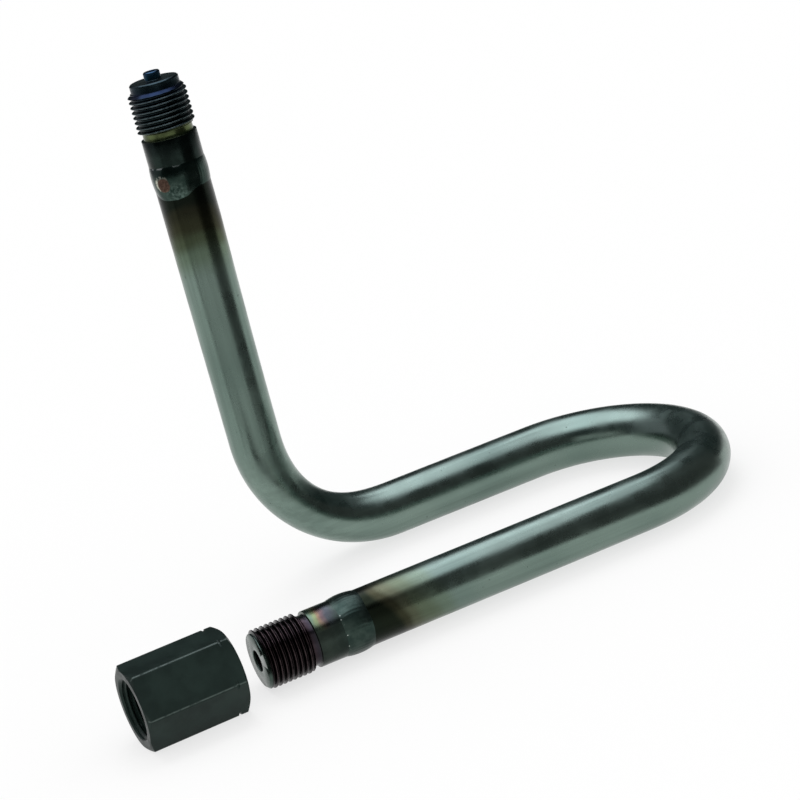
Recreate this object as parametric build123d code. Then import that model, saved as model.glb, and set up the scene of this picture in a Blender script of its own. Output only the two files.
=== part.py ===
"""Pressure gauge siphon, U-form, with a left-right adjusting sleeve.

A heavy-walled steel tube is bent into a U that lies flat and then turned straight up. The upright leg ends in
the process stud (right-hand pipe thread with a nose and a centring spigot). The flat leg ends in the gauge stud
(left-hand pipe thread with a flat sealing face). Both studs are turned parts, butt-welded to the tube. The
hexagonal adjusting sleeve that draws a gauge onto the gauge stud is unscrewed and lies in front of it.

Layout frame: the U-bend's centre is at the origin of the layout, the tube's centreline lies in the layout's XY
plane, the gauge leg runs towards -X at y = -bend_radius, and the process leg rises along +Z. The finished pieces
are then moved so that the origin is at the bottom centre of the whole part. All sizes are in millimetres.
"""

from build123d import *
from math import cos, radians, sin, tan
import os

# Tube
tube_od = 20.0
tube_wall = 2.6
bend_radius = 44.0      # centreline radius of both bends, made on one former
gauge_leg = 116.0       # straight tube from the U-bend to the gauge stud's weld
rise_leg = 60.0         # straight tube from the U-bend to the upward bend
process_leg = 102.5     # straight tube from the upward bend to the process stud's weld
bend_flat = 2.5         # how much narrower the upward bend is, on its inside, where bending flattened it most
leg_flat = 1.05         # how much narrower the process leg still is just above the bend
leg_flat_end = 84.0     # length of process leg over which that fades out

# Pipe thread G 1/2, drawn as a plain cylinder at its crest (male) or at its minor diameter (female)
thread_major = 20.955
thread_depth = 1.162
thread_minor = thread_major - 2 * thread_depth

# What the two welded studs share
collar_od = 20.0
neck_od = 18.0
neck_length = 3.0
lead_chamfer = 1.2      # on the first thread
drill_point = 118.0     # included angle of a drilled hole's end, in degrees

# Gauge stud
gauge_collar_length = 14.5
gauge_thread_length = 16.5
gauge_bore = 7.5

# Process stud
process_collar_length = 14.2
process_thread_length = 13.8
nose_od = 17.7
nose_length = 3.2
nose_chamfer = 0.5
spigot_od = 6.0
spigot_length = 3.0
spigot_chamfer = 0.4
spigot_bore = 3.6
process_bore = 7.5
process_bore_end = 6.0  # solid left between the wide drilling and the nose's face

# Butt welds
root_face = 1.0         # unbevelled part of the tube's wall at the joint
bevel_width = 1.3       # axial width of the bevel on each side of the joint
gauge_bead_half = 5.2
gauge_bead_crown = 0.65
process_bead_half = 4.8
process_bead_crown = 0.75

# Adjusting sleeve
sleeve_flats = 27.0     # width across flats
sleeve_length = 36.0
sleeve_end_circle = 26.8
sleeve_end_angle = 30.0
sleeve_relief_od = 21.6
sleeve_relief_length = 4.0
sleeve_countersink = 21.8
mark_groove_offset = 4.0    # the groove that marks the left-hand end, from that end
mark_groove_width = 1.2
mark_groove_od = 29.6

# Where the unscrewed sleeve lies
sleeve_gap = 10.0       # from the gauge stud's face to the sleeve
sleeve_aside = 3.8      # sideways, away from the process leg
sleeve_skew = 1.7       # degrees off the gauge leg's line

tube_r = tube_od / 2
bore_r = tube_r - tube_wall
thread_r = thread_major / 2
collar_r = collar_od / 2
root_r = bore_r + root_face


def turned(points):
    """Solid of revolution about Z from a closed outline of (radius, height) points."""
    return revolve(Plane.XZ * make_face(Polyline(*points, close=True)), Axis.Z)


def flattening(turned_by, risen_by):
    """Loss of width in the upward bend (angle in degrees) or in the process leg (height above the bend)."""
    if risen_by > 0:
        return leg_flat * (1 - (risen_by / leg_flat_end) ** 2)
    start = sin(radians(min(2 * turned_by, 90))) ** 2
    end = sin(radians(min(2 * (90 - turned_by), 90))) ** 2
    return bend_flat * start * end + leg_flat * (1 - end)


def flattened_section(radius, turned_by, risen_by=0.0):
    """Section of a rod of this radius in the upward bend or the process leg, flattened towards its outside."""
    loss = flattening(turned_by, risen_by)
    angle = radians(turned_by)
    outward = Vector(-sin(angle), 0, -cos(angle))
    tangent = Vector(-cos(angle), 0, sin(angle))
    middle = (
        Vector(-rise_leg, bend_radius, bend_radius)
        + outward * (bend_radius + loss / 2)
        + Vector(0, 0, risen_by)
    )
    outline = Circle(radius) if loss == 0 else Ellipse(radius, radius - loss / 2)
    return Plane(origin=middle, x_dir=(0, 1, 0), z_dir=tangent) * outline


def tube_solid(radius):
    """A rod of this radius along the whole centreline, from the gauge joint to the process joint."""
    joint = Vector(-gauge_leg, -bend_radius, 0)
    turn_start = Vector(0, -bend_radius, 0)
    turn_end = Vector(0, bend_radius, 0)
    rise_start = Vector(-rise_leg, bend_radius, 0)
    flat_legs = Wire([
        Line(joint, turn_start).edge(),
        ThreePointArc(turn_start, (bend_radius, 0, 0), turn_end).edge(),
        Line(turn_end, rise_start).edge(),
    ])
    lying = sweep(Plane(origin=joint, z_dir=(1, 0, 0)) * Circle(radius), path=flat_legs)
    bend = [flattened_section(radius, angle) for angle in (0, 12, 24, 36, 48, 60, 72, 82, 90)]
    leg = [flattened_section(radius, 90, leg_flat_end * part) for part in (0.2, 0.45, 0.7, 1)]
    top = extrude(leg[-1], process_leg - leg_flat_end)
    return lying + loft(bend) + loft([bend[-1], *leg]) + top


def bevel_cut():
    """Ring that bevels a tube end at z = 0 whose material lies below, ready for welding."""
    return turned([(root_r, 0), (tube_r + 1, 0), (tube_r + 1, -bevel_width), (tube_r, -bevel_width)])


def siphon_tube():
    tube = tube_solid(tube_r) - tube_solid(bore_r)
    return tube - gauge_joint * bevel_cut() - process_joint * bevel_cut()


def stud_start():
    """Outline of a stud from its bevelled weld face up its collar and neck, as (radius, height) points."""
    return [(root_r, 0), (collar_r, bevel_width)]


def gauge_stud():
    """Left-hand threaded stud with a flat sealing face, standing on its joint at z = 0."""
    neck = gauge_collar_length
    thread = neck + neck_length
    face = thread + gauge_thread_length
    outline = [
        (gauge_bore / 2, 0),
        *stud_start(),
        (collar_r, neck),
        (neck_od / 2, neck),
        (neck_od / 2, thread - lead_chamfer / 2),
        (thread_r, thread),
        (thread_r, face - lead_chamfer),
        (thread_r - lead_chamfer, face),
        (gauge_bore / 2, face),
    ]
    return turned(outline)


def process_stud():
    """Right-hand threaded stud with a nose and a centring spigot, standing on its joint at z = 0."""
    neck = process_collar_length
    thread = neck + neck_length
    nose = thread + process_thread_length
    face = nose + nose_length
    tip = face + spigot_length
    bore_end = face - process_bore_end
    cone = (process_bore - spigot_bore) / 2 / tan(radians(drill_point / 2))
    outline = [
        (process_bore / 2, 0),
        *stud_start(),
        (collar_r, neck),
        (neck_od / 2, neck),
        (neck_od / 2, thread - lead_chamfer / 2),
        (thread_r, thread),
        (thread_r, nose - lead_chamfer),
        (nose_od / 2, nose),
        (nose_od / 2, face - nose_chamfer),
        (nose_od / 2 - nose_chamfer, face),
        (spigot_od / 2, face),
        (spigot_od / 2, tip - spigot_chamfer),
        (spigot_od / 2 - spigot_chamfer, tip),
        (spigot_bore / 2, tip),
        (spigot_bore / 2, bore_end),
        (process_bore / 2, bore_end - cone),
    ]
    return turned(outline)


def weld_bead(half_width, crown):
    """Bead that fills the bevels at z = 0 and stands proud of the tube (below) and the collar (above)."""
    under = Polyline(
        (tube_r, -half_width),
        (tube_r, -bevel_width),
        (root_r, 0),
        (collar_r, bevel_width),
        (collar_r, half_width),
    )
    over = ThreePointArc((collar_r, half_width), (tube_r + crown, 0), (tube_r, -half_width))
    return revolve(Plane.XZ * make_face([*under.edges(), over.edge()]), Axis.Z)


def adjusting_sleeve():
    """Hexagonal sleeve along Z, left-hand end at z = 0, with a female thread in each end."""
    corner_r = sleeve_flats / 2 / cos(radians(30))
    end_r = sleeve_end_circle / 2
    end_drop = (corner_r - end_r) * tan(radians(sleeve_end_angle))
    minor_r = thread_minor / 2
    sink_r = sleeve_countersink / 2
    sink = sink_r - minor_r
    relief_r = sleeve_relief_od / 2
    relief_low = (sleeve_length - sleeve_relief_length) / 2
    relief_high = relief_low + sleeve_relief_length
    groove_r = mark_groove_od / 2
    barrel = [
        (sink_r, 0),
        (end_r, 0),
        (corner_r, end_drop),
        (corner_r, mark_groove_offset - mark_groove_width / 2),
        (groove_r, mark_groove_offset),
        (corner_r, mark_groove_offset + mark_groove_width / 2),
        (corner_r, sleeve_length - end_drop),
        (end_r, sleeve_length),
        (sink_r, sleeve_length),
        (minor_r, sleeve_length - sink),
        (minor_r, relief_high),
        (relief_r, relief_high),
        (relief_r, relief_low),
        (minor_r, relief_low),
        (minor_r, sink),
    ]
    hexagon = RegularPolygon(sleeve_flats / 2, 6, major_radius=False, rotation=30)
    return turned(barrel) & extrude(hexagon, sleeve_length)


# Joints between tube and studs: each frame's Z points out of the tube along the stud
gauge_joint = Location(Plane(
    origin=(-gauge_leg, -bend_radius, 0), x_dir=(0, 0, 1), z_dir=(-1, 0, 0)
))
process_joint = Location((-rise_leg - bend_radius, bend_radius, bend_radius + process_leg))

# The table is touched by the widest of the pieces on the flat leg
table_z = -max(tube_r, collar_r, thread_r, tube_r + gauge_bead_crown)
gauge_face_x = -gauge_leg - gauge_collar_length - neck_length - gauge_thread_length
sleeve_place = Location(Plane(
    origin=(gauge_face_x - sleeve_gap, -bend_radius - sleeve_aside, table_z + sleeve_flats / 2),
    x_dir=(0, 0, 1),
    z_dir=(-cos(radians(sleeve_skew)), -sin(radians(sleeve_skew)), 0),
))

pieces = {
    "siphon_tube": siphon_tube(),
    "gauge_stud": gauge_joint * gauge_stud(),
    "process_stud": process_joint * process_stud(),
    "gauge_weld": gauge_joint * weld_bead(gauge_bead_half, gauge_bead_crown),
    "process_weld": process_joint * weld_bead(process_bead_half, process_bead_crown),
    "adjusting_sleeve": sleeve_place * adjusting_sleeve(),
}

boxes = [piece.bounding_box() for piece in pieces.values()]
middle_x = (min(box.min.X for box in boxes) + max(box.max.X for box in boxes)) / 2
middle_y = (min(box.min.Y for box in boxes) + max(box.max.Y for box in boxes)) / 2
to_part_frame = Location((-middle_x, -middle_y, -table_z))

if __name__ == "__main__":
    os.makedirs("parts", exist_ok=True)
    for name, piece in pieces.items():
        export_step(to_part_frame * piece, f"parts/{name}.step")
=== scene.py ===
"""Looks of the pressure gauge siphon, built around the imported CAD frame.

Lengths are in millimetres where nothing else is said.
"""

import math

import bpy
import numpy as np
from mathutils import Matrix, Vector

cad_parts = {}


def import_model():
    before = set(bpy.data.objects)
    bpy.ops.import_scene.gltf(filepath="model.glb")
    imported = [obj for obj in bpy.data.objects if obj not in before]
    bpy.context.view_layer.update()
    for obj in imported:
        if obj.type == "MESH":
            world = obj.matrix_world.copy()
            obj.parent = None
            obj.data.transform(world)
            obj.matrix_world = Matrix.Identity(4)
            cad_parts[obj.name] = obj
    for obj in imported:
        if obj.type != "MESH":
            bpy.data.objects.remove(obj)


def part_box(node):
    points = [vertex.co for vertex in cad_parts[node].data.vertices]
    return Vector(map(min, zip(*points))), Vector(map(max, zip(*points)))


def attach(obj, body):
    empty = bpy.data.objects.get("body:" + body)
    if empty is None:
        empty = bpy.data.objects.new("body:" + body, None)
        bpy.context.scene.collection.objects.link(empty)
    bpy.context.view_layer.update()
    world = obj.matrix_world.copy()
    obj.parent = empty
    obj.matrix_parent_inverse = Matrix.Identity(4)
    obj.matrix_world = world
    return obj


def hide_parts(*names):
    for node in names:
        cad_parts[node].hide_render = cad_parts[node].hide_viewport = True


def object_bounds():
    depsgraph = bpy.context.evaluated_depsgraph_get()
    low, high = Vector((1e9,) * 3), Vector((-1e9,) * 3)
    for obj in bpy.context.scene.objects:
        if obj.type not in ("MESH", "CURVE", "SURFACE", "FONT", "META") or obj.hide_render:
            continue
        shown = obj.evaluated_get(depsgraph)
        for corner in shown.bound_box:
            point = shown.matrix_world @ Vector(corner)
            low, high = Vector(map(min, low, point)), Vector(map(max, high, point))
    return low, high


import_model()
cad_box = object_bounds()

MM = 0.001

# Sizes that the solids have too
TUBE_R = 10.0
TUBE_WALL = 2.6
BEND_R = 44.0
RISE_LEG = 60.0
GAUGE_LEG = 116.0
PROCESS_LEG = 102.5
BEND_FLAT = 2.5
LEG_FLAT = 1.05
LEG_FLAT_END = 84.0
ROOT_FACE = 1.0
BEVEL_WIDTH = 1.3
THREAD_R = 10.4775
THREAD_PITCH = 1.814
THREAD_DEPTH = 1.162
NECK_R = 9.0
NECK_LENGTH = 3.0
LEAD_CHAMFER = 1.2
BORE_R = 3.75
GAUGE_COLLAR = 14.5
GAUGE_THREAD = 16.5
GAUGE_STUD_LENGTH = GAUGE_COLLAR + NECK_LENGTH + GAUGE_THREAD
PROCESS_COLLAR = 14.2
PROCESS_THREAD = 13.8
NOSE_R = 8.85
NOSE_LENGTH = 3.2
NOSE_CHAMFER = 0.5
NOSE_START = PROCESS_COLLAR + NECK_LENGTH + PROCESS_THREAD
NOSE_FACE = NOSE_START + NOSE_LENGTH
SPIGOT_R = 3.0
SPIGOT_LENGTH = 3.0
SPIGOT_CHAMFER = 0.4
SPIGOT_BORE_R = 1.8
PROCESS_STUD_LENGTH = NOSE_FACE + SPIGOT_LENGTH
BORE_END = 6.0          # from the nose's face to where the process stud's bore widens
BORE_CONE = 1.2         # length over which it widens
SLEEVE_FLATS = 27.0
SLEEVE_LENGTH = 36.0
SLEEVE_SKEW = 1.7       # degrees
SLEEVE_END_R = 13.4
SLEEVE_END_ANGLE = 30.0
SLEEVE_MOUTH_R = 10.9
RELIEF_R = 10.8
RELIEF_LENGTH = 4.0
GROOVE_R = 14.8
GROOVE_OFFSET = 4.0     # from the sleeve's left-hand end

# Details that only the looks have
THREAD_RUN_IN = 0.45    # how far below the neck's top a stud's thread starts
THREAD_STEP = 0.06      # between the rings of points of a stud's thread
CREST_HIGHLIGHT_BAND = 0.08        # depth of the band on a thread's crest that is painted lighter: painted highlight with some rubbing
BORE_BREAK = 0.15       # broken edge of the gauge stud's bore
SLEEVE_THREAD_STEP = 0.13
SLEEVE_BLUNT = 0.16     # how much the sleeve's corners are rounded off
GROOVE_HALF = 0.3       # half of the mark groove's floor, and the width of each flank
RIPPLES = 46            # of a weld bead, in one turn
BEAD_INSIDE_R = 8.6
BEAD_SUNK = 0.02        # how far a bead's edges lie under the tube's surface
LOBE_ANGLE = math.radians(226)  # round the process leg, where its weld is fattest
BEAD_MARK_R = 10.9      # where the marks on the process weld lie

# The view: the camera's place from the process leg's axis and from the plane of the tube's centreline
CAMERA_OFFSET = np.array([-241.807, -833.126, 309.722])
CAMERA_RIGHT = (0.883795, -0.397871, -0.246181)
CAMERA_DOWN = (-0.337982, -0.179067, -0.923961)
CAMERA_LENS = 111.87
TOWARDS_CAMERA = math.atan2(CAMERA_OFFSET[1], CAMERA_OFFSET[0])

# Floor and light
FLOOR_WHITE = 0.95
FLOOR_OWN_WHITE = 0.7
FLOOR_HALF = 8.0        # metres
FILL_LIGHT = 0.8
DARK_STUDIO = 0.05
DARK_TINT = (0.78, 1.03, 1.05)
PANEL_TINT = (1.0, 0.99, 1.1)
DOME_R = 2.5            # metres
DOME_STEP = 6           # degrees
# Bright panels of the dome: azimuth from and to (0 towards the camera), elevation from and to, and strength
PANELS = [
    (-180, -90, 48, 54, 1.2),
    (-180, -90, 54, 90, 2.7),
    (-90, 60, 54, 60, 1.0),
    (-90, 60, 60, 66, 2.0),
    (-90, 60, 66, 90, 2.8),
    (60, 144, 54, 60, 0.7),
    (60, 144, 60, 66, 1.4),
    (60, 144, 66, 90, 2.2),
    (144, 180, 42, 48, 1.0),
    (144, 180, 48, 54, 2.1),
    (144, 180, 54, 90, 2.9),
    (-144, -78, 0, 48, 0.34),
]


def node_box(name):
    """Lowest and highest corner of a CAD node, in millimetres."""
    low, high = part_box(name)
    return np.array(low) / MM, np.array(high) / MM


tube_low, tube_high = node_box("siphon_tube")
# Centre of the U-bend, in the plane of the tube's centreline
U_CENTRE = np.array([
    tube_high[0] - BEND_R - TUBE_R,
    tube_low[1] + BEND_R + TUBE_R,
    tube_low[2] + TUBE_R,
])
TABLE_Z = cad_box[0][2] / MM


# ---------------------------------------------------------------- meshes

def add_mesh(name, verts, faces, material, replaced=(), sharp=40.0, edge=None):
    """Adds a smooth-shaded piece, in millimetres, on the part's one body; edge is 1 on thread crests and
    corners, which are painted lighter: painted highlight with some rubbed wear.
    """
    mesh = bpy.data.meshes.new(name)
    mesh.from_pydata([tuple(v) for v in np.asarray(verts) * MM], [], faces)
    mesh.validate()
    mesh.polygons.foreach_set("use_smooth", [True] * len(mesh.polygons))
    mesh.set_sharp_from_angle(angle=math.radians(sharp))
    if edge is not None:
        mesh.attributes.new("edge", "FLOAT", "POINT").data.foreach_set("value", np.asarray(edge, float))
    mesh.materials.append(material)
    piece = bpy.data.objects.new(name, mesh)
    bpy.context.scene.collection.objects.link(piece)
    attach(piece, "root")
    if replaced:
        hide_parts(*replaced)
    return piece


def ring_faces(rings, around, closed):
    """Quads between successive rings of points; closed joins the last ring to the first."""
    faces = []
    for i in range(rings if closed else rings - 1):
        a = i * around
        b = (i + 1) % rings * around
        for j in range(around):
            k = (j + 1) % around
            faces.append((a + j, a + k, b + k, b + j))
    return faces


def tube_stations():
    """Sections along the tube: (middle, direction that loses width, direction beside it, loss of width)."""
    stations = []
    y = U_CENTRE + np.array([0.0, -BEND_R, 0.0])
    for x in np.linspace(-GAUGE_LEG, 0, 60, endpoint=False):
        stations.append((y + [x, 0, 0], (0, 0, 1), (0, 1, 0), 0.0))
    for t in np.linspace(0, math.pi, 72, endpoint=False):
        out = np.array([math.sin(t), -math.cos(t), 0])
        stations.append((U_CENTRE + BEND_R * out, (0, 0, 1), tuple(-out), 0.0))
    y = U_CENTRE + np.array([0.0, BEND_R, 0.0])
    for x in np.linspace(0, -RISE_LEG, 30, endpoint=False):
        stations.append((y + [x, 0, 0], (0, 0, 1), (0, -1, 0), 0.0))
    centre = y + np.array([-RISE_LEG, 0, BEND_R])
    for t in np.linspace(0, 90, 40, endpoint=False):
        start = math.sin(math.radians(min(2 * t, 90))) ** 2
        end = math.sin(math.radians(min(2 * (90 - t), 90))) ** 2
        loss = BEND_FLAT * start * end + LEG_FLAT * (1 - end)
        a = math.radians(t)
        inward = np.array([math.sin(a), 0, math.cos(a)])
        stations.append((centre - inward * (BEND_R + loss / 2), tuple(inward), (0, -1, 0), loss))
    top = centre + np.array([-BEND_R, 0, 0])
    for s in np.linspace(0, PROCESS_LEG, 50):
        loss = LEG_FLAT * max(0.0, 1 - (s / LEG_FLAT_END) ** 2)
        stations.append((top + [-loss / 2, 0, s], (1, 0, 0), (0, -1, 0), loss))
    return stations


def build_tube(material, around=80):
    """The bent tube, outside and then back along the inside."""
    stations = tube_stations()
    angles = np.linspace(0, 2 * math.pi, around, endpoint=False)
    verts = []
    for radius, path in ((TUBE_R, stations), (TUBE_R - TUBE_WALL, stations[::-1])):
        for position, inward, side, loss in path:
            inward = np.array(inward)
            side = np.array(side)
            for a in angles:
                across = math.cos(a) * (radius - loss / 2) * inward + math.sin(a) * radius * side
                verts.append(position + across)
    faces = ring_faces(2 * len(stations), around, True)
    return add_mesh("bent_tube", verts, faces, material, ["siphon_tube"])


def softened(outline, radius=0.18):
    """Cuts each corner of an outline of (radius, height) points back a little."""
    points = [outline[0]]
    for before, corner, after in zip(outline, outline[1:], outline[2:]):
        before, corner, after = np.array(before), np.array(corner), np.array(after)
        to_before, to_after = before - corner, after - corner
        cut = min(radius, 0.4 * np.linalg.norm(to_before), 0.4 * np.linalg.norm(to_after))
        first = corner + to_before / np.linalg.norm(to_before) * cut
        last = corner + to_after / np.linalg.norm(to_after) * cut
        points += [tuple(first), tuple(0.25 * first + 0.5 * corner + 0.25 * last), tuple(last)]
    points.append(outline[-1])
    return points


def thread_shape(phase):
    """Rounded 55-degree thread: 0 at the crest, -1 at the root, from the phase in turns."""
    ramp = np.abs(2 * (phase % 1.0) - 1)
    return -0.5 + 0.5 * np.sin(np.pi / 2 * np.clip((2 * ramp - 1) * 1.15, -1, 1))


def helix_radii(height, hand, angles):
    """Radii round a thread's helix at one height; hand is 1 for right and -1 for left."""
    return THREAD_R + THREAD_DEPTH * thread_shape(height / THREAD_PITCH - hand * angles / (2 * math.pi))


def ring_of(place, angles, radii, heights):
    """Points at these angles round Z of a local frame."""
    turn, shift = place
    heights = np.broadcast_to(np.asarray(heights, float), angles.shape)
    return np.stack([radii * np.cos(angles), radii * np.sin(angles), heights], axis=1) @ turn.T + shift


def turned_verts(place, outline, around, thread):
    """Rings of points of a turned outline; thread is (start, end, hand), cut between those heights."""
    angles = np.linspace(0, 2 * math.pi, around, endpoint=False)
    start, end, hand = thread
    slack = 1e-6
    rings, edges = [], []
    for radius, height in outline:
        radii = np.full(around, float(radius))
        if start - slack <= height <= end + slack and radius > NECK_R:
            cut = helix_radii(height, hand, angles)
            # 1 on the crest's top band, where painted highlight and rubbing go
            edges.append(np.where(cut < radii, np.clip((cut - THREAD_R) / CREST_HIGHLIGHT_BAND + 1, 0, 1), 0))
            radii = np.minimum(radii, cut)
        else:
            edges.append(np.zeros(around))
        rings.append(ring_of(place, angles, radii, height))
    return np.concatenate(rings), np.concatenate(edges)


def frame_along(origin, x_dir, z_dir):
    """Rotation matrix and shift of a local frame."""
    x_dir = np.array(x_dir, float)
    z_dir = np.array(z_dir, float)
    return np.stack([x_dir, np.cross(z_dir, x_dir), z_dir], axis=1), np.array(origin, float)


GAUGE_PLACE = frame_along(U_CENTRE + np.array([-GAUGE_LEG, -BEND_R, 0]), (0, 0, 1), (-1, 0, 0))
PROCESS_PLACE = frame_along(
    U_CENTRE + np.array([-RISE_LEG - BEND_R, BEND_R, BEND_R + PROCESS_LEG]), (1, 0, 0), (0, 0, 1)
)


def dense(start, end, step):
    """Evenly spaced heights about a step apart."""
    return list(np.linspace(start, end, max(2, int(round((end - start) / step)) + 1)))


def build_stud(name, place, collar, thread, after, bore, hand, material, node):
    """A turned stud: lengths of collar and thread, then the outline to the bore's mouth and the bore's."""
    neck_top = collar + NECK_LENGTH
    thread_top = neck_top + thread
    shoulder = LEAD_CHAMFER / 2
    first = neck_top - THREAD_RUN_IN
    plain = softened([
        (bore[0][0], 0),
        (TUBE_R - TUBE_WALL + ROOT_FACE, 0),
        (TUBE_R, BEVEL_WIDTH),
        (TUBE_R, collar),
        (NECK_R, collar),
        (NECK_R, neck_top - shoulder),
        (THREAD_R, neck_top),
    ])[:-1]
    cut = []
    for z in dense(first, thread_top, THREAD_STEP):
        rising = NECK_R + (z - neck_top + shoulder) / shoulder * (THREAD_R - NECK_R)
        falling = THREAD_R - LEAD_CHAMFER + (thread_top - z)
        cut.append((min(THREAD_R, rising, falling), z))
    tail = softened([(THREAD_R - LEAD_CHAMFER, thread_top), *after, *bore])
    outline = [point for point in plain if point[1] < first] + cut + tail[1:]
    around = 144
    verts, edge = turned_verts(place, outline, around, (first, thread_top, hand))
    return add_mesh(
        name, verts, ring_faces(len(outline), around, True), material, [node], 55, edge
    )


def build_bead(name, place, half, crown, seed, material, node, ripple, fat=0.0, fat_angle=0.0, sag=0.0):
    """A weld bead with ripples, wandering edges and one fatter side."""
    rng = np.random.default_rng(seed)
    around, across = 360, 26
    angles = np.linspace(0, 2 * math.pi, around, endpoint=False)
    edge = [np.zeros(around), np.zeros(around)]
    for side in edge:
        for k in range(2, 14):
            side += rng.normal() * 0.55 / k * np.cos(k * angles + rng.uniform(0, 6.3))
    ripple_phase = angles * RIPPLES + 0.5 * np.sin(3 * angles + 1) + 0.4 * np.sin(7 * angles)
    lobe = np.exp(-((np.angle(np.exp(1j * (angles - fat_angle)))) / 0.75) ** 4)
    low = -half + 0.35 * np.abs(edge[0]) - sag * lobe
    high = half - 0.35 * np.abs(edge[1])
    verts = []
    for u in np.linspace(-1, 1, across):
        dome = 1 - abs(u) ** 2.2
        scallop = 0.5 + 0.5 * np.sin(ripple_phase - 3.0 * (1 - u * u))
        height = (crown + fat * lobe) * dome - ripple * scallop * dome * (1 - 0.9 * lobe * (fat > 0))
        radii = TUBE_R - BEAD_SUNK + np.maximum(height, 0)
        verts.append(ring_of(place, angles, radii, np.where(u < 0, -u * low, u * high)))
    verts.append(ring_of(place, angles, BEAD_INSIDE_R, 0.0))
    faces = ring_faces(across + 1, around, True)
    return add_mesh(name, np.concatenate(verts), faces, material, [node], sharp=60)


def build_sleeve(material, around=240):
    """The hexagonal sleeve, threaded left-handed from its near end and right-handed from its far end."""
    low, high = node_box("adjusting_sleeve")
    skew = math.radians(SLEEVE_SKEW)
    axis = np.array([-math.cos(skew), -math.sin(skew), 0.0])
    centre = (low + high) / 2
    centre[2] = TABLE_Z + SLEEVE_FLATS / 2
    place = frame_along(centre - axis * SLEEVE_LENGTH / 2, (0, 0, 1), axis)
    angles = np.linspace(0, 2 * math.pi, around, endpoint=False)
    half_flat = SLEEVE_FLATS / 2
    off_flat = np.angle(np.exp(1j * 6 * angles)) / 6
    corner = half_flat / math.cos(math.pi / 6)
    hexagon = np.minimum(half_flat / np.cos(off_flat), corner - SLEEVE_BLUNT)
    slope = math.tan(math.radians(SLEEVE_END_ANGLE))
    end_zone = 2.0
    groove_zone = 0.8
    heights = np.concatenate([
        np.linspace(0, end_zone, 22),
        np.linspace(end_zone, GROOVE_OFFSET - groove_zone, 5),
        np.linspace(GROOVE_OFFSET - groove_zone, GROOVE_OFFSET + groove_zone, 17),
        np.linspace(GROOVE_OFFSET + groove_zone, SLEEVE_LENGTH - end_zone, 40),
        np.linspace(SLEEVE_LENGTH - end_zone, SLEEVE_LENGTH, 22),
    ])
    rings = []
    for z in sorted(set(np.round(heights, 4))):
        barrel = SLEEVE_END_R + min(z, SLEEVE_LENGTH - z) / slope
        flank = max(0.0, abs(z - GROOVE_OFFSET) - GROOVE_HALF) / GROOVE_HALF
        groove = GROOVE_R + flank * (corner - GROOVE_R)
        rings.append((np.minimum(hexagon, min(barrel, groove)), z))
    face_radii = [13.0, 12.0, SLEEVE_MOUTH_R + 0.12]
    rings += [(np.full(around, radius), SLEEVE_LENGTH) for radius in face_radii]
    inset = 0.06
    run_out = 0.3
    for z in dense(inset, SLEEVE_LENGTH - inset, SLEEVE_THREAD_STEP)[::-1]:
        cone = SLEEVE_MOUTH_R - min(z, SLEEVE_LENGTH - z)
        hand = -1 if z < SLEEVE_LENGTH / 2 else 1
        helix = helix_radii(z, hand, angles)
        past_relief = max(0.0, abs(z - SLEEVE_LENGTH / 2) - RELIEF_LENGTH / 2)
        relief = RELIEF_R - past_relief / run_out * 1.5 if past_relief < run_out else 0.0
        rings.append((np.maximum(np.maximum(helix, cone), relief), z))
    rings += [(np.full(around, radius), 0.0) for radius in face_radii[::-1]]
    verts = [ring_of(place, angles, radii, z) for radii, z in rings]
    at_corner = np.abs(off_flat) > math.radians(29.5)
    # 1 along the corners, which are painted lighter: wear and painted highlight
    edge = np.concatenate([np.where(at_corner & (radii > half_flat + 0.6), 1.0, 0.0) for radii, _ in rings])
    return add_mesh(
        "hex_sleeve", np.concatenate(verts), ring_faces(len(rings), around, True), material,
        ["adjusting_sleeve"], 28, edge,
    )


# ---------------------------------------------------------------- materials

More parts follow.
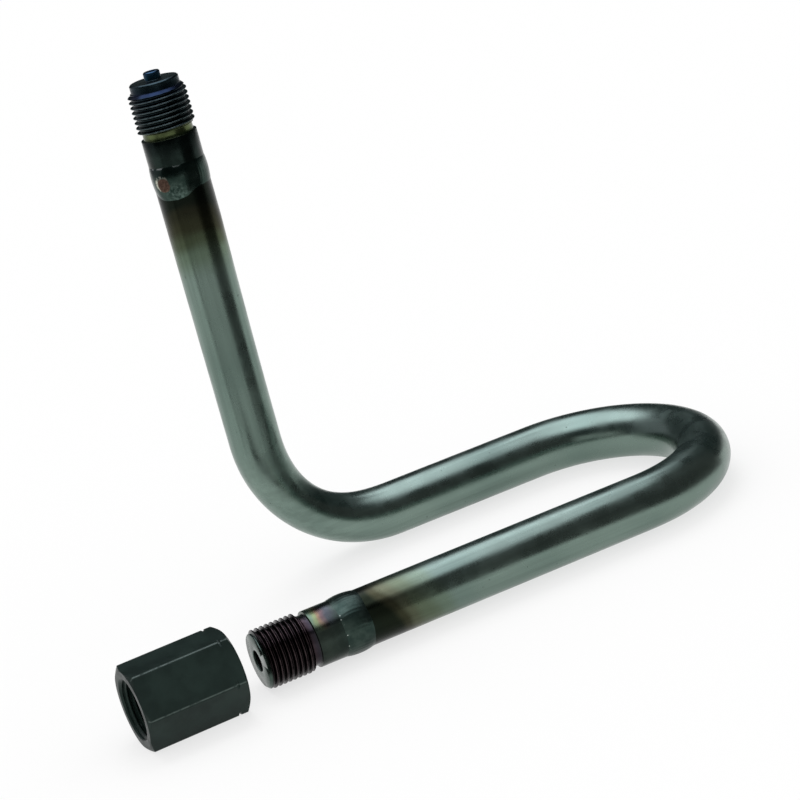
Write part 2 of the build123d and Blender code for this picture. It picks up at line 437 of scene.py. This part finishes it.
class Nodes:
    """Short names for building a shader."""

    def __init__(self, name):
        self.material = bpy.data.materials.new(name)
        self.material.use_nodes = True
        self.tree = self.material.node_tree
        self.shader = self.tree.nodes["Principled BSDF"]
        self.place = self.new("ShaderNodeTexCoord").outputs["Object"]
        self.axes = self.new("ShaderNodeSeparateXYZ")
        self.link(self.place, self.axes.inputs[0])

    def new(self, kind, **settings):
        node = self.tree.nodes.new(kind)
        for key, value in settings.items():
            setattr(node, key, value)
        return node

    def link(self, source, target):
        self.tree.links.new(source, target)

    def feed(self, value, target):
        if hasattr(value, "is_linked"):
            self.link(value, target)
        else:
            target.default_value = value

    def math(self, operation, a, b=None, clamp=False):
        node = self.new("ShaderNodeMath", operation=operation, use_clamp=clamp)
        self.feed(a, node.inputs[0])
        if b is not None:
            self.feed(b, node.inputs[1])
        return node.outputs[0]

    def noise(self, scale, detail=3.0, stretch=None, roughness=0.5, seed=0.0):
        """Noise of this scale per metre; stretch multiplies the scale along X, Y and Z."""
        place = self.place
        if stretch or seed:
            mapping = self.new("ShaderNodeMapping")
            self.link(place, mapping.inputs["Vector"])
            mapping.inputs["Location"].default_value = (seed, seed * 0.7, -seed)
            mapping.inputs["Scale"].default_value = stretch or (1, 1, 1)
            place = mapping.outputs[0]
        node = self.new("ShaderNodeTexNoise")
        self.link(place, node.inputs["Vector"])
        node.inputs["Scale"].default_value = scale
        node.inputs["Detail"].default_value = detail
        node.inputs["Roughness"].default_value = roughness
        return node.outputs["Fac"]

    def ramp(self, value, stops, smooth=True):
        node = self.new("ShaderNodeValToRGB")
        if smooth:
            node.color_ramp.interpolation = "EASE"
        elements = node.color_ramp.elements
        while len(elements) < len(stops):
            elements.new(0.5)
        for element, (position, colour) in zip(elements, stops):
            element.position = position
            if isinstance(colour, (int, float)):
                colour = (colour, colour, colour)
            element.color = (*colour, 1.0)
        self.feed(value, node.inputs[0])
        return node.outputs[0]

    def mix(self, factor, a, b, blend="MIX"):
        node = self.new("ShaderNodeMix", data_type="RGBA", blend_type=blend)
        self.feed(factor, node.inputs[0])
        for socket, value in ((node.inputs[6], a), (node.inputs[7], b)):
            self.feed(value if hasattr(value, "is_linked") else (*value, 1.0), socket)
        return node.outputs[2]

    def along(self, socket, start, end):
        """0 to 1 as a coordinate goes from start to end, in millimetres."""
        node = self.new("ShaderNodeMapRange", clamp=True)
        self.link(socket, node.inputs["Value"])
        node.inputs["From Min"].default_value = start * MM
        node.inputs["From Max"].default_value = end * MM
        return node.outputs["Result"]

    def bump(self, height, distance, strength=1.0, after=None):
        node = self.new("ShaderNodeBump")
        self.link(height, node.inputs["Height"])
        node.inputs["Distance"].default_value = distance * MM
        node.inputs["Strength"].default_value = strength
        if after is not None:
            self.link(after, node.inputs["Normal"])
        return node.outputs[0]

    def metal(self, colour, roughness, normal=None, metallic=1.0):
        self.feed(colour, self.shader.inputs["Base Color"])
        self.feed(roughness, self.shader.inputs["Roughness"])
        self.shader.inputs["Metallic"].default_value = metallic
        if normal is not None:
            self.link(normal, self.shader.inputs["Normal"])
        return self.material


def tube_material():
    """Drawn steel with the heat tint of both welds."""
    n = Nodes("tube_steel")
    x, y, z = n.axes.outputs
    joint_x = U_CENTRE[0] - GAUGE_LEG
    joint_z = U_CENTRE[2] + BEND_R + PROCESS_LEG
    wander = n.math("MULTIPLY", n.math("SUBTRACT", n.noise(45, 2), 0.5), 0.012)
    on_gauge_leg = n.along(y, U_CENTRE[1] + 5, U_CENTRE[1] - 5)
    lean = n.math("MULTIPLY", n.math("SUBTRACT", z, U_CENTRE[2] * MM), 0.42)
    gauge = n.along(n.math("ADD", n.math("ADD", x, lean), wander), joint_x, joint_x + 60)
    gauge = n.math("ADD", gauge, n.math("SUBTRACT", 1.0, on_gauge_leg), clamp=True)
    process = n.along(n.math("ADD", z, wander), joint_z, joint_z - 70)
    steel = n.ramp(n.noise(30, 4), [(0.3, (0.138, 0.195, 0.168)), (0.7, (0.182, 0.246, 0.212))])
    tint_gauge = [
        (0.0, (0.06, 0.066, 0.055)), (0.19, (0.07, 0.068, 0.05)), (0.255, (0.24, 0.18, 0.12)),
        (0.31, (0.56, 0.45, 0.33)), (0.38, (0.68, 0.63, 0.48)), (0.48, (0.88, 0.87, 0.76)), (0.60, (1, 1, 1)),
    ]
    tint_process = [
        (0.0, (0.06, 0.065, 0.06)), (0.16, (0.06, 0.06, 0.05)), (0.21, (0.14, 0.105, 0.075)),
        (0.28, (0.23, 0.175, 0.115)), (0.34, (0.40, 0.37, 0.25)), (0.42, (0.74, 0.75, 0.62)),
        (0.55, (1, 1, 1)),
    ]
    colour = n.mix(1.0, steel, n.ramp(gauge, tint_gauge), "MULTIPLY")
    colour = n.mix(1.0, colour, n.ramp(process, tint_process), "MULTIPLY")
    upright = n.along(z, U_CENTRE[2] + 20, U_CENTRE[2] + 50)
    drawn = n.mix(upright, n.noise(500, 3, (0.03, 1, 1)), n.noise(500, 3, (1, 1, 0.03)))
    drawn = n.mix(n.along(x, U_CENTRE[0] - 15, U_CENTRE[0] + 10), drawn, (0.5, 0.5, 0.5))
    colour = n.mix(0.35, colour, n.ramp(drawn, [(0.3, 0.72), (0.7, 1.28)]), "MULTIPLY")
    pits = n.along(n.noise(650, 2, seed=0.9), 735, 775)
    colour = n.mix(n.math("MULTIPLY", pits, 0.7), colour, (0.02, 0.025, 0.02))
    roughness = n.ramp(n.noise(120, 4), [(0.3, 0.23), (0.7, 0.34)])
    grain = n.bump(drawn, 0.012, 0.5, n.bump(n.noise(900, 3), 0.02, 0.5))
    return n.metal(colour, roughness, grain)


def point_mask(n, point, radius, soft):
    """1 within a radius of a point, in millimetres, and 0 outside, with a ragged edge."""
    node = n.new("ShaderNodeVectorMath", operation="DISTANCE")
    n.link(n.place, node.inputs[0])
    node.inputs[1].default_value = tuple(np.asarray(point) * MM)
    wander = n.math("MULTIPLY", n.math("SUBTRACT", n.noise(700, 2), 0.5), 0.0012)
    ragged = n.math("ADD", node.outputs["Value"], wander)
    return n.math("SUBTRACT", 1.0, n.along(ragged, radius - soft, radius + soft))


def edge_wear_and_highlight(n, colour, bright, amount):
    """The colour made lighter where edge is 1: painted highlight on thread crests and corners, with some
    rubbed wear.
    """
    node = n.new("ShaderNodeAttribute", attribute_name="edge")
    worn_and_lit = n.math("MULTIPLY", node.outputs["Fac"], n.along(n.noise(500, 3), 300, 500))
    return n.mix(n.math("MULTIPLY", worn_and_lit, amount), colour, bright)


def process_stud_material():
    """Zones of colour from the weld to the spigot's tip."""
    n = Nodes("process_stud_steel")
    z = n.axes.outputs[2]
    start = PROCESS_PLACE[1][2]
    zones = n.ramp(n.along(z, start, start + PROCESS_STUD_LENGTH), [
        (0.0, (0.016, 0.026, 0.022)), (0.375, (0.018, 0.027, 0.024)), (0.39, (0.085, 0.11, 0.045)),
        (0.455, (0.075, 0.095, 0.042)), (0.475, (0.019, 0.031, 0.032)), (0.79, (0.017, 0.029, 0.036)),
        (0.82, (0.010, 0.018, 0.040)), (0.832, (0.010, 0.018, 0.040)), (0.845, (0.020, 0.036, 0.046)),
        (0.92, (0.030, 0.050, 0.056)), (0.935, (0.015, 0.07, 0.11)), (1.0, (0.02, 0.05, 0.09)),
    ])
    colour = n.mix(0.5, zones, n.ramp(n.noise(220, 3), [(0.35, 0.45), (0.7, 1.5)]), "MULTIPLY")
    # thread crests painted lighter: painted highlight, with some rubbing
    colour = edge_wear_and_highlight(n, colour, (0.22, 0.29, 0.29), 0.7)
    rough = n.ramp(n.noise(300, 3), [(0.3, 0.2), (0.7, 0.31)])
    return n.metal(colour, rough, n.bump(n.noise(2500, 2), 0.01, 0.2))


def gauge_stud_material():
    """Zones of colour from the sealing face to the weld, with temper colours painted on the collar's top
    only, brighter than the rest: real temper tint and painted highlight.
    """
    n = Nodes("gauge_stud_steel")
    x, _, z = n.axes.outputs
    joint = GAUGE_PLACE[1][0]
    tip = joint - GAUGE_STUD_LENGTH
    collar_edge = joint - GAUGE_COLLAR
    wander = n.math("MULTIPLY", n.math("SUBTRACT", n.noise(130, 2), 0.5), 0.006)
    zones = n.ramp(n.along(x, tip, joint), [
        (0.0, (0.060, 0.088, 0.074)), (0.012, (0.060, 0.088, 0.074)), (0.035, (0.017, 0.013, 0.014)),
        (0.47, (0.015, 0.012, 0.013)), (0.49, (0.040, 0.027, 0.031)), (0.56, (0.032, 0.028, 0.035)),
        (0.58, (0.026, 0.035, 0.029)), (1.0, (0.022, 0.034, 0.029)),
    ])
    # temper colours on the collar's top band only, brighter than the collar: real temper tint that also
    # stands in for the highlight
    temper_and_highlight = n.ramp(n.along(n.math("ADD", x, wander), tip, joint), [
        (0.57, (0.08, 0.12, 0.085)), (0.63, (0.12, 0.15, 0.075)), (0.67, (0.15, 0.105, 0.07)),
        (0.70, (0.10, 0.07, 0.072)), (0.75, (0.055, 0.062, 0.07)), (0.86, (0.04, 0.056, 0.048)),
    ])
    on_top = n.along(z, U_CENTRE[2] + 4.5, U_CENTRE[2] + 8.5)
    collar_top_highlight = n.math("MULTIPLY", n.along(x, collar_edge - 0.1, collar_edge + 0.1), on_top)
    colour = n.mix(collar_top_highlight, zones, temper_and_highlight)
    colour = n.mix(0.4, colour, n.ramp(n.noise(200, 3), [(0.35, 0.5), (0.7, 1.5)]), "MULTIPLY")
    # thread crests painted lighter: painted highlight, with some rubbing
    colour = edge_wear_and_highlight(n, colour, (0.12, 0.085, 0.088), 0.65)
    rough = n.ramp(n.noise(300, 3), [(0.3, 0.2), (0.7, 0.3)])
    rings = n.new("ShaderNodeTexWave", wave_type="RINGS", rings_direction="X")
    around = n.new("ShaderNodeVectorMath", operation="SUBTRACT")
    n.link(n.place, around.inputs[0])
    around.inputs[1].default_value = tuple(GAUGE_PLACE[1] * MM)
    n.link(around.outputs[0], rings.inputs["Vector"])
    rings.inputs["Scale"].default_value = 900
    on_face = n.math("SUBTRACT", 1.0, n.along(x, tip + 0.05, tip + 0.1))
    facing = n.math("MULTIPLY", rings.outputs["Fac"], on_face)
    normal = n.bump(facing, 0.01, 0.2, n.bump(n.noise(2500, 2), 0.01, 0.2))
    return n.metal(colour, rough, normal)


def bead_material(name, dark, light, process):
    """Weld metal; process adds frost, a painted highlight along the rim's top, rust and a pale spot, and
    without it there is spatter.
    """
    n = Nodes(name)
    x, _, z = n.axes.outputs
    colour = n.ramp(n.noise(260, 4), [(0.35, dark), (0.7, light)])
    if process:
        centre = PROCESS_PLACE[1]

        def on_bead(angle, height):
            a = math.radians(angle)
            return centre + np.array([BEAD_MARK_R * math.cos(a), BEAD_MARK_R * math.sin(a), height])

        frosted = point_mask(n, on_bead(240, -5.4), 3.4, 1.8)
        frost = n.math("MULTIPLY", frosted, n.along(n.noise(900, 4), 400, 760))
        colour = n.mix(frost, colour, (0.13, 0.19, 0.165))
        # painted highlight: a pale line along the top of the bead's rim, at its front left
        rim_highlight_band = n.along(z, centre[2] + 4.0, centre[2] + 4.5)
        rim_highlight = n.math("MULTIPLY", rim_highlight_band, n.along(n.noise(380, 3), 500, 560))
        rim_highlight = n.math("MULTIPLY", rim_highlight, point_mask(n, on_bead(222, 4.4), 6.5, 1.0))
        colour = n.mix(rim_highlight, colour, (0.42, 0.46, 0.42))
        pale_spot = point_mask(n, on_bead(212.5, -0.8), 2.8, 0.2)
        pale = n.math("MULTIPLY", pale_spot, n.along(n.noise(500, 2), 420, 520))
        colour = n.mix(pale, colour, (0.45, 0.46, 0.38))
        rust = point_mask(n, on_bead(216, -1.3), 2.5, 0.25)
        rust_colour = n.ramp(n.noise(1500, 3), [(0.3, (0.085, 0.05, 0.036)), (0.7, (0.18, 0.115, 0.085))])
        colour = n.mix(rust, colour, rust_colour)
        smooth = n.ramp(n.noise(300, 3), [(0.3, 0.2), (0.7, 0.32)])
        rough = n.math("ADD", smooth, n.math("MULTIPLY", rust, 0.4))
    else:
        edge_x = GAUGE_PLACE[1][0] - 4.7
        line = n.math("SUBTRACT", 1.0, n.along(x, edge_x, edge_x + 0.5))
        spatter = n.math("MULTIPLY", line, n.along(n.noise(1300, 1, seed=0.3), 640, 690))
        colour = n.mix(spatter, colour, (0.5, 0.55, 0.5))
        rough = n.ramp(n.noise(300, 3), [(0.3, 0.25), (0.7, 0.36)])
    return n.metal(colour, rough, n.bump(n.noise(1100, 3), 0.03, 0.6))


def sleeve_material():
    """Blackened steel that shines little, with corners painted lighter: rubbed wear and painted highlight."""
    n = Nodes("sleeve_steel")
    colour = n.ramp(n.noise(120, 4), [(0.3, (0.0105, 0.0195, 0.0165)), (0.7, (0.0165, 0.0295, 0.025))])
    # corners painted lighter: wear and painted highlight
    colour = edge_wear_and_highlight(n, colour, (0.14, 0.18, 0.165), 0.55)
    rough = n.ramp(n.noise(300, 3), [(0.3, 0.33), (0.7, 0.42)])
    n.shader.inputs["Specular IOR Level"].default_value = 0.1
    return n.metal(colour, rough, n.bump(n.noise(1800, 3), 0.015, 0.6), 0.25)


# ---------------------------------------------------------------- floor, camera and light


def stage_mesh(name, verts, faces, material, glossy_only=False):
    """Adds something round the object, in metres; glossy_only is seen in reflections alone."""
    mesh = bpy.data.meshes.new(name)
    mesh.from_pydata(verts, [], faces)
    mesh.materials.append(material)
    piece = bpy.data.objects.new(name, mesh)
    bpy.context.scene.collection.objects.link(piece)
    if glossy_only:
        piece.visible_camera = False
        piece.visible_diffuse = False
        piece.visible_transmission = False
        piece.visible_shadow = False
    return piece


def seen_or_reflected(tree):
    """1 for what is seen directly, in a reflection or through glass, and 0 for light on the object."""
    path = tree.nodes.new("ShaderNodeLightPath")
    total = path.outputs["Is Camera Ray"]
    for name in ("Is Glossy Ray", "Is Transmission Ray"):
        either = tree.nodes.new("ShaderNodeMath")
        either.operation = "MAXIMUM"
        tree.links.new(total, either.inputs[0])
        tree.links.new(path.outputs[name], either.inputs[1])
        total = either.outputs[0]
    return total


def backdrop():
    """A white floor that keeps the object's shadow."""
    material = bpy.data.materials.new("floor_white")
    material.use_nodes = True
    tree = material.node_tree
    shader = tree.nodes["Principled BSDF"]
    shader.inputs["Base Color"].default_value = (*[FLOOR_WHITE] * 3, 1)
    shader.inputs["Roughness"].default_value = 0.9
    shader.inputs["Specular IOR Level"].default_value = 0.0
    white = tree.nodes.new("ShaderNodeEmission")
    mix = tree.nodes.new("ShaderNodeMixShader")
    share = tree.nodes.new("ShaderNodeMath")
    share.operation = "MULTIPLY"
    share.inputs[1].default_value = FLOOR_OWN_WHITE
    tree.links.new(seen_or_reflected(tree), share.inputs[0])
    tree.links.new(share.outputs[0], mix.inputs[0])
    tree.links.new(shader.outputs[0], mix.inputs[1])
    tree.links.new(white.outputs[0], mix.inputs[2])
    tree.links.new(mix.outputs[0], tree.nodes["Material Output"].inputs["Surface"])
    corners = [(-1, -1), (1, -1), (1, 1), (-1, 1)]
    verts = [(FLOOR_HALF * x, FLOOR_HALF * y, TABLE_Z * MM) for x, y in corners]
    stage_mesh("floor", verts, [(0, 1, 2, 3)], material)


def world():
    """Even white light, a little dimmer on the object than seen; reflections meet the dome first."""
    scene = bpy.context.scene
    scene.world = scene.world or bpy.data.worlds.new("studio")
    scene.world.use_nodes = True
    tree = scene.world.node_tree
    tree.nodes.clear()
    output = tree.nodes.new("ShaderNodeOutputWorld")
    background = tree.nodes.new("ShaderNodeBackground")
    background.inputs["Color"].default_value = (1, 1, 1, 1)
    strength = tree.nodes.new("ShaderNodeMapRange")
    strength.inputs["To Min"].default_value = FILL_LIGHT
    strength.inputs["To Max"].default_value = 1.0
    tree.links.new(seen_or_reflected(tree), strength.inputs["Value"])
    tree.links.new(strength.outputs["Result"], background.inputs["Strength"])
    tree.links.new(background.outputs[0], output.inputs[0])


def glow(name, strength, colour=(1, 1, 1)):
    """A material that only emits."""
    material = bpy.data.materials.new(name)
    material.use_nodes = True
    tree = material.node_tree
    tree.nodes.clear()
    emission = tree.nodes.new("ShaderNodeEmission")
    emission.inputs["Color"].default_value = (*colour, 1)
    emission.inputs["Strength"].default_value = strength
    output = tree.nodes.new("ShaderNodeOutputMaterial")
    tree.links.new(emission.outputs[0], output.inputs["Surface"])
    return material


def direction(azimuth, elevation):
    """Unit vector for an azimuth (0 towards the camera) and an elevation, in degrees."""
    a = TOWARDS_CAMERA + math.radians(azimuth)
    e = math.radians(elevation)
    return np.array([math.cos(e) * math.cos(a), math.cos(e) * math.sin(a), math.sin(e)])


def dome():
    """The dark studio that the metal reflects: a dome of patches, each dark or part of a bright panel."""
    materials = [glow("studio_dark", DARK_STUDIO, DARK_TINT)]
    materials += [glow(f"studio_{i}", panel[4], PANEL_TINT) for i, panel in enumerate(PANELS)]
    patches = [[] for _ in materials]
    for az in range(-180, 180, DOME_STEP):
        for el in range(0, 90, DOME_STEP):
            owner = 0
            for i, (az0, az1, el0, el1, _) in enumerate(PANELS):
                if az0 <= az < az1 and el0 <= el < el1:
                    owner = i + 1
            patches[owner].append((az, el))
    centre = np.array([0, 0, TABLE_Z * MM])
    corners = ((0, 0), (DOME_STEP, 0), (DOME_STEP, DOME_STEP), (0, DOME_STEP))
    for material, cells in zip(materials, patches):
        verts = [tuple(centre + DOME_R * direction(az + x, el + y)) for az, el in cells for x, y in corners]
        faces = [(i, i + 1, i + 2, i + 3) for i in range(0, len(verts), 4)]
        stage_mesh("dome_" + material.name, verts, faces, material, True)


def card(name, azimuths, radius, height, strength):
    """A curved card round the process leg that only reflections see; radius and height are in metres."""
    centre = PROCESS_PLACE[1] * MM
    low = TABLE_Z * MM + 0.001
    steps = 15
    verts = []
    for a in np.radians(np.linspace(*azimuths, steps + 1)) + TOWARDS_CAMERA:
        for z in (low, low + height):
            verts.append((centre[0] + radius * math.cos(a), centre[1] + radius * math.sin(a), z))
    faces = [(2 * i, 2 * i + 2, 2 * i + 3, 2 * i + 1) for i in range(steps)]
    stage_mesh(name, verts, faces, glow(name, strength), True)


def sun(azimuth, elevation, spread, strength):
    """A soft key light that reflections don't show."""
    data = bpy.data.lights.new("key", "SUN")
    data.energy = strength
    data.angle = math.radians(spread)
    lamp = bpy.data.objects.new("key", data)
    lamp.rotation_euler = Vector(direction(azimuth, elevation)).to_track_quat("Z", "Y").to_euler()
    lamp.visible_glossy = False
    bpy.context.scene.collection.objects.link(lamp)


def camera():
    """The main view: a long lens that looks down at the object and is rolled a little."""
    position = np.array([*PROCESS_PLACE[1][:2], U_CENTRE[2]]) + CAMERA_OFFSET
    right = Vector(CAMERA_RIGHT)
    up = -Vector(CAMERA_DOWN)
    turn = Matrix((right, up, right.cross(up).normalized())).transposed()
    data = bpy.data.cameras.new("camera")
    data.sensor_width = 36
    data.lens = CAMERA_LENS
    data.clip_start = 0.01
    cam = bpy.data.objects.new("camera", data)
    cam.matrix_world = Matrix.Translation(Vector(position * MM)) @ turn.to_4x4()
    bpy.context.scene.collection.objects.link(cam)
    bpy.context.scene.camera = cam


# ---------------------------------------------------------------- the scene

tube_steel = tube_material()
process_steel = process_stud_material()
gauge_steel = gauge_stud_material()
process_bead_steel = bead_material("process_weld_metal", (0.022, 0.040, 0.033), (0.042, 0.066, 0.055), True)
gauge_bead_steel = bead_material("gauge_weld_metal", (0.024, 0.040, 0.034), (0.044, 0.066, 0.056), False)
sleeve_steel = sleeve_material()

nose_and_spigot = [
    (NOSE_R, NOSE_START),
    (NOSE_R, NOSE_FACE - NOSE_CHAMFER),
    (NOSE_R - NOSE_CHAMFER, NOSE_FACE),
    (SPIGOT_R, NOSE_FACE),
    (SPIGOT_R, PROCESS_STUD_LENGTH - SPIGOT_CHAMFER),
    (SPIGOT_R - SPIGOT_CHAMFER, PROCESS_STUD_LENGTH),
    (SPIGOT_BORE_R, PROCESS_STUD_LENGTH),
]
process_bore = [
    (SPIGOT_BORE_R, NOSE_FACE - BORE_END),
    (BORE_R, NOSE_FACE - BORE_END - BORE_CONE),
    (BORE_R, 0.0),
]
gauge_mouth = [(BORE_R + BORE_BREAK, GAUGE_STUD_LENGTH)]
gauge_bore = [(BORE_R, GAUGE_STUD_LENGTH - BORE_BREAK), (BORE_R, 0.0)]

build_tube(tube_steel)
build_stud(
    "process_end", PROCESS_PLACE, PROCESS_COLLAR, PROCESS_THREAD, nose_and_spigot, process_bore, 1,
    process_steel, "process_stud",
)
build_stud(
    "gauge_end", GAUGE_PLACE, GAUGE_COLLAR, GAUGE_THREAD, gauge_mouth, gauge_bore, -1,
    gauge_steel, "gauge_stud",
)
build_bead(
    "gauge_bead", GAUGE_PLACE, half=5.2, crown=0.64, seed=3, material=gauge_bead_steel, node="gauge_weld",
    ripple=0.035,
)
build_bead(
    "process_bead", PROCESS_PLACE, half=4.8, crown=0.38, seed=5, material=process_bead_steel,
    node="process_weld", ripple=0.025, fat=0.72, fat_angle=LOBE_ANGLE, sag=2.6,
)
build_sleeve(sleeve_steel)

backdrop()
world()
dome()
card("card_right", (28, 84), 0.20, 0.16, 0.09)
card("card_front", (-44, 27), 0.22, 0.125, 0.66)
card("card_left", (-58, -50), 0.20, 0.16, 0.35)
sun(180, 60, 40, 0.9)
camera()
bpy.context.scene.view_settings.view_transform = "Standard"
